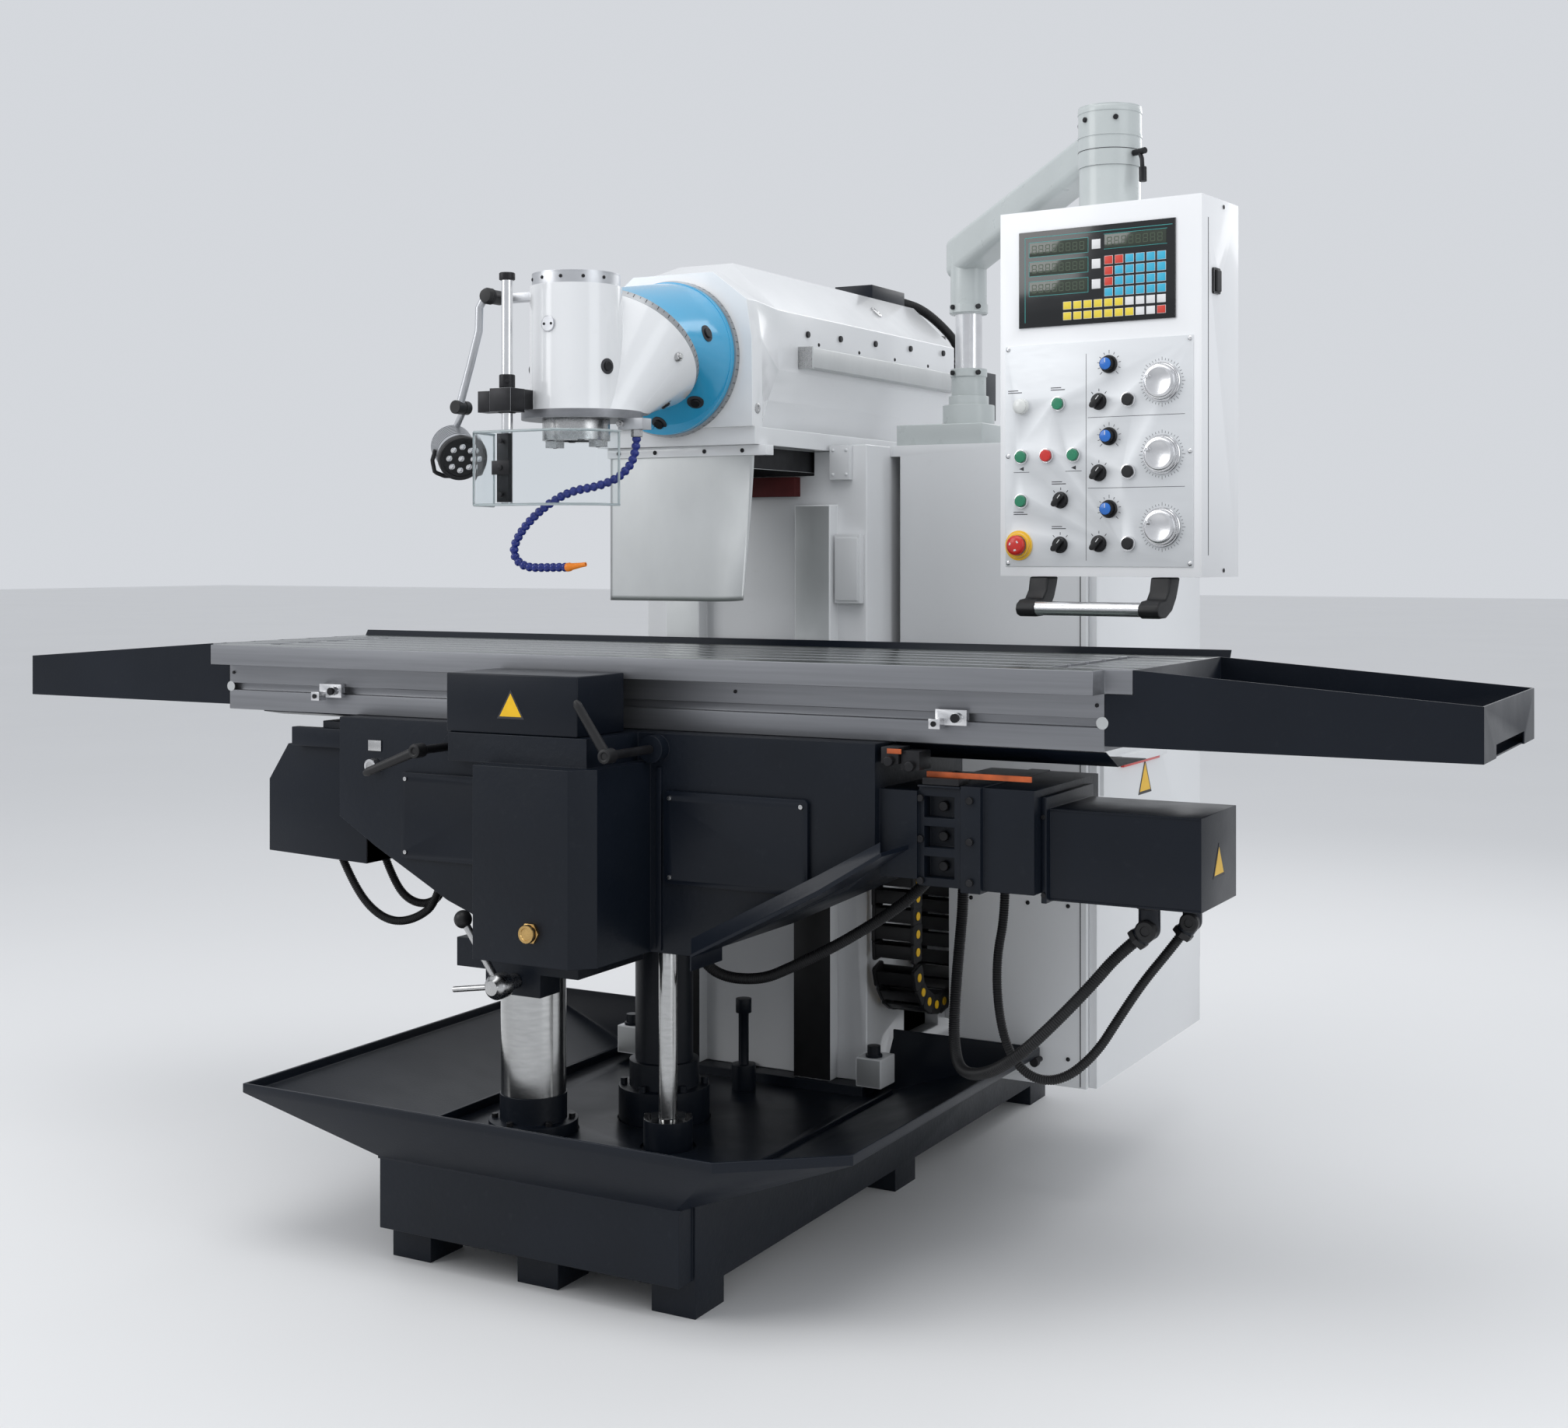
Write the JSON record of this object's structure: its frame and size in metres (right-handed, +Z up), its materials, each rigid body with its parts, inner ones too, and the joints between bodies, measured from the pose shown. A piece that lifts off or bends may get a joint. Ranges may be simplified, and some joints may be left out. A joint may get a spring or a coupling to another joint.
{
  "type": "vertical milling machine",
  "caption": "Ram-type milling machine: swivelling vertical spindle head on a travelling ram, knee with long table, chip tray, cabinet and swinging control pendant.",
  "frame": {"origin": "on the floor in the machine's centre plane, below the table's inner edge region", "axes": "+X along the table's travel to the right, +Y from the operator to the column, +Z up"},
  "size_m": [3.236, 1.98, 2.206],
  "materials": {
    "white_paint": "gloss enamel",
    "dark_paint": "semi-gloss textured enamel",
    "light_grey_paint": "satin",
    "grey_paint": "satin",
    "blue_paint": "gloss enamel",
    "ground_steel": "ground",
    "black_plastic": "matte",
    "black_rubber": "matte",
    "green_plastic": "gloss",
    "red_plastic": "gloss",
    "blue_plastic": "satin",
    "clear_plastic": "clear",
    "aluminium": "satin"
  },
  "bodies": {
    "frame": {"base_casting": "dark_paint", "chip_tray": "dark_paint", "column": "white_paint", "cabinet": "light_grey_paint", "lifting_columns": "ground_steel", "arm_pedestal": "grey_paint", "drag_chain": "black_plastic"},
    "cabinet_door": {"cabinet_door": "light_grey_paint"},
    "knee": {"knee_casting": "dark_paint", "knee_covers": "dark_paint", "electric_box": "dark_paint", "motor_covers": "dark_paint", "knee_guards": "ground_steel", "right_conduits": "black_rubber", "front_conduit": "black_rubber", "left_conduits": "black_rubber"},
    "table_lever_left": {"table_lever_left": "black_plastic"},
    "table_lever_right": {"table_lever_right": "black_plastic"},
    "column_lever": {"column_lever": "black_plastic"},
    "table": {"table": "ground_steel", "table_guards": "dark_paint"},
    "stop_dog_left": {"stop_dog_left": "ground_steel"},
    "stop_dog_right": {"stop_dog_right": "ground_steel"},
    "ram": {"ram_casting": "white_paint", "ram_trim": "dark_paint", "spindle_motor": "dark_paint", "ram_hose": "black_rubber", "splash_sheet": "ground_steel"},
    "swivel": {"swivel_housing": "blue_paint"},
    "head": {"head_casting": "white_paint", "head_fittings": "black_plastic", "coolant_hose": "blue_plastic"},
    "spindle": {"spindle": "ground_steel"},
    "guard": {"guard_screen": "clear_plastic"},
    "lamp_arm": {"lamp_arm": "black_plastic"},
    "lamp_head": {"lamp_head": "aluminium"},
    "pendant_arm": {"pendant_arm": "grey_paint"},
    "pendant": {"pendant_box": "white_paint", "pendant_handle": "ground_steel"},
    "power_button": {"power_button": "green_plastic"},
    "jog_left_button": {"jog_left_button": "green_plastic"},
    "jog_right_button": {"jog_right_button": "green_plastic"},
    "tool_button": {"tool_button": "green_plastic"},
    "stop_button": {"stop_button": "red_plastic"},
    "x_axis_button": {"x_axis_button": "black_plastic"},
    "y_axis_button": {"y_axis_button": "black_plastic"},
    "z_axis_button": {"z_axis_button": "black_plastic"},
    "emergency_stop": {"emergency_stop": "red_plastic"},
    "side_key": {"side_key": "black_plastic"},
    "mode_selector": {"mode_selector": "black_plastic"},
    "spindle_selector": {"spindle_selector": "black_plastic"},
    "x_feed_selector": {"x_feed_selector": "black_plastic"},
    "y_feed_selector": {"y_feed_selector": "black_plastic"},
    "z_feed_selector": {"z_feed_selector": "black_plastic"},
    "x_speed_dial": {"x_speed_dial": "black_plastic"},
    "y_speed_dial": {"y_speed_dial": "black_plastic"},
    "z_speed_dial": {"z_speed_dial": "black_plastic"},
    "x_handwheel": {"x_handwheel": "black_plastic"},
    "y_handwheel": {"y_handwheel": "black_plastic"},
    "z_handwheel": {"z_handwheel": "black_plastic"}
  },
  "joints": [
    {"name": "knee_lift", "type": "slide", "parent": "frame", "child": "knee", "axis": [0, 0, 1], "range_m": [-0.22, 0.075]},
    {"name": "table_travel", "type": "slide", "parent": "knee", "child": "table", "axis": [1, 0, 0], "range_m": [-0.725, 0.675]},
    {"name": "ram_travel", "type": "slide", "parent": "frame", "child": "ram", "axis": [0, 1, 0], "range_m": [-0.44, 0.26]},
    {"name": "swivel_turn", "type": "hinge", "parent": "ram", "child": "swivel", "pos_m": [0, 0.076, 1.755], "axis": [0, -1, 0], "continuous": true},
    {"name": "head_turn", "type": "hinge", "parent": "swivel", "child": "head", "pos_m": [0, -0.097, 1.755], "axis": [0, -0.7071, -0.7071], "continuous": true},
    {"name": "spindle_spin", "type": "hinge", "parent": "head", "child": "spindle", "pos_m": [0, -0.269, 1.571], "axis": [0, 0, -1], "continuous": true},
    {"name": "guard_swing", "type": "hinge", "parent": "head", "child": "guard", "pos_m": [-0.065, -0.4, 1.64], "axis": [0, 0, 1], "range_deg": [-35, 0]},
    {"name": "lamp_arm_tilt", "type": "hinge", "parent": "head", "child": "lamp_arm", "pos_m": [-0.17, -0.3, 1.852], "axis": [0, 1, 0], "range_deg": [-4, 75]},
    {"name": "lamp_tilt", "type": "hinge", "parent": "lamp_arm", "child": "lamp_head", "pos_m": [-0.255, -0.3, 1.642], "axis": [0, 1, 0], "range_deg": [-15, 60]},
    {"name": "door_swing", "type": "hinge", "parent": "frame", "child": "cabinet_door", "pos_m": [0.739, 1.262, 0.9], "axis": [0, 0, 1], "range_deg": [0, 110]},
    {"name": "left_lock_turn", "type": "hinge", "parent": "knee", "child": "table_lever_left", "pos_m": [-0.302, -0.366, 0.975], "axis": [0, 1, 0], "range_deg": [-50, 40]},
    {"name": "right_lock_turn", "type": "hinge", "parent": "knee", "child": "table_lever_right", "pos_m": [0.161, -0.4, 0.99], "axis": [0, 1, 0], "range_deg": [-12, 45]},
    {"name": "pillar_lock_turn", "type": "hinge", "parent": "knee", "child": "column_lever", "pos_m": [-0.126, -0.335, 0.533], "axis": [0, 1, 0], "range_deg": [-50, 10]},
    {"name": "left_dog_slide", "type": "slide", "parent": "table", "child": "stop_dog_left", "axis": [1, 0, 0], "range_m": [-0.25, 0.4]},
    {"name": "right_dog_slide", "type": "slide", "parent": "table", "child": "stop_dog_right", "axis": [1, 0, 0], "range_m": [-0.4, 0.2]},
    {"name": "arm_swing", "type": "hinge", "parent": "frame", "child": "pendant_arm", "pos_m": [0.416, 0.64, 1.7], "axis": [0, 0, 1], "range_deg": [-25, 40]},
    {"name": "pendant_swing", "type": "hinge", "parent": "pendant_arm", "child": "pendant", "pos_m": [0.888, 0.23, 2.05], "axis": [0, 0, 1], "range_deg": [-45, 45]},
    {"name": "power_button_press", "type": "slide", "parent": "pendant", "child": "power_button", "axis": [0.108, 0.9942, 0], "range_m": [0, 0.004], "stiffness_N_per_m": 400},
    {"name": "jog_left_button_press", "type": "slide", "parent": "pendant", "child": "jog_left_button", "axis": [0.108, 0.9942, 0], "range_m": [0, 0.004], "stiffness_N_per_m": 400},
    {"name": "jog_right_button_press", "type": "slide", "parent": "pendant", "child": "jog_right_button", "axis": [0.108, 0.9942, 0], "range_m": [0, 0.004], "stiffness_N_per_m": 400},
    {"name": "tool_button_press", "type": "slide", "parent": "pendant", "child": "tool_button", "axis": [0.108, 0.9942, 0], "range_m": [0, 0.004], "stiffness_N_per_m": 400},
    {"name": "stop_button_press", "type": "slide", "parent": "pendant", "child": "stop_button", "axis": [0.108, 0.9942, 0], "range_m": [0, 0.004], "stiffness_N_per_m": 400},
    {"name": "x_axis_button_press", "type": "slide", "parent": "pendant", "child": "x_axis_button", "axis": [0.108, 0.9942, 0], "range_m": [0, 0.004], "stiffness_N_per_m": 400},
    {"name": "y_axis_button_press", "type": "slide", "parent": "pendant", "child": "y_axis_button", "axis": [0.108, 0.9942, 0], "range_m": [0, 0.004], "stiffness_N_per_m": 400},
    {"name": "z_axis_button_press", "type": "slide", "parent": "pendant", "child": "z_axis_button", "axis": [0.108, 0.9942, 0], "range_m": [0, 0.004], "stiffness_N_per_m": 400},
    {"name": "emergency_stop_press", "type": "slide", "parent": "pendant", "child": "emergency_stop", "axis": [0.108, 0.9942, 0], "range_m": [0, 0.006], "stiffness_N_per_m": 500},
    {"name": "side_key_press", "type": "slide", "parent": "pendant", "child": "side_key", "axis": [-0.9942, 0.108, 0], "range_m": [0, 0.003], "stiffness_N_per_m": 400},
    {"name": "mode_selector_turn", "type": "hinge", "parent": "pendant", "child": "mode_selector", "pos_m": [0.81302, 0.16586, 1.458], "axis": [-0.108, -0.9942, 0], "range_deg": [-20, 100]},
    {"name": "spindle_selector_turn", "type": "hinge", "parent": "pendant", "child": "spindle_selector", "pos_m": [0.81202, 0.16597, 1.373], "axis": [-0.108, -0.9942, 0], "range_deg": [-20, 100]},
    {"name": "x_feed_selector_turn", "type": "hinge", "parent": "pendant", "child": "x_feed_selector", "pos_m": [0.89255, 0.15722, 1.642], "axis": [-0.108, -0.9942, 0], "range_deg": [-20, 100]},
    {"name": "y_feed_selector_turn", "type": "hinge", "parent": "pendant", "child": "y_feed_selector", "pos_m": [0.89255, 0.15722, 1.508], "axis": [-0.108, -0.9942, 0], "range_deg": [-20, 100]},
    {"name": "z_feed_selector_turn", "type": "hinge", "parent": "pendant", "child": "z_feed_selector", "pos_m": [0.89255, 0.15722, 1.375], "axis": [-0.108, -0.9942, 0], "range_deg": [-20, 100]},
    {"name": "x_speed_dial_turn", "type": "hinge", "parent": "pendant", "child": "x_speed_dial", "pos_m": [0.91343, 0.15496, 1.711], "axis": [-0.108, -0.9942, 0], "range_deg": [-150, 150]},
    {"name": "y_speed_dial_turn", "type": "hinge", "parent": "pendant", "child": "y_speed_dial", "pos_m": [0.91343, 0.15496, 1.576], "axis": [-0.108, -0.9942, 0], "range_deg": [-150, 150]},
    {"name": "z_speed_dial_turn", "type": "hinge", "parent": "pendant", "child": "z_speed_dial", "pos_m": [0.91343, 0.15496, 1.44], "axis": [-0.108, -0.9942, 0], "range_deg": [-150, 150]},
    {"name": "x_handwheel_turn", "type": "hinge", "parent": "pendant", "child": "x_handwheel", "pos_m": [1.0198, 0.1434, 1.673], "axis": [-0.108, -0.9942, 0], "continuous": true},
    {"name": "y_handwheel_turn", "type": "hinge", "parent": "pendant", "child": "y_handwheel", "pos_m": [1.0198, 0.1434, 1.539], "axis": [-0.108, -0.9942, 0], "continuous": true},
    {"name": "z_handwheel_turn", "type": "hinge", "parent": "pendant", "child": "z_handwheel", "pos_m": [1.0198, 0.1434, 1.405], "axis": [-0.108, -0.9942, 0], "continuous": true}
  ]
}
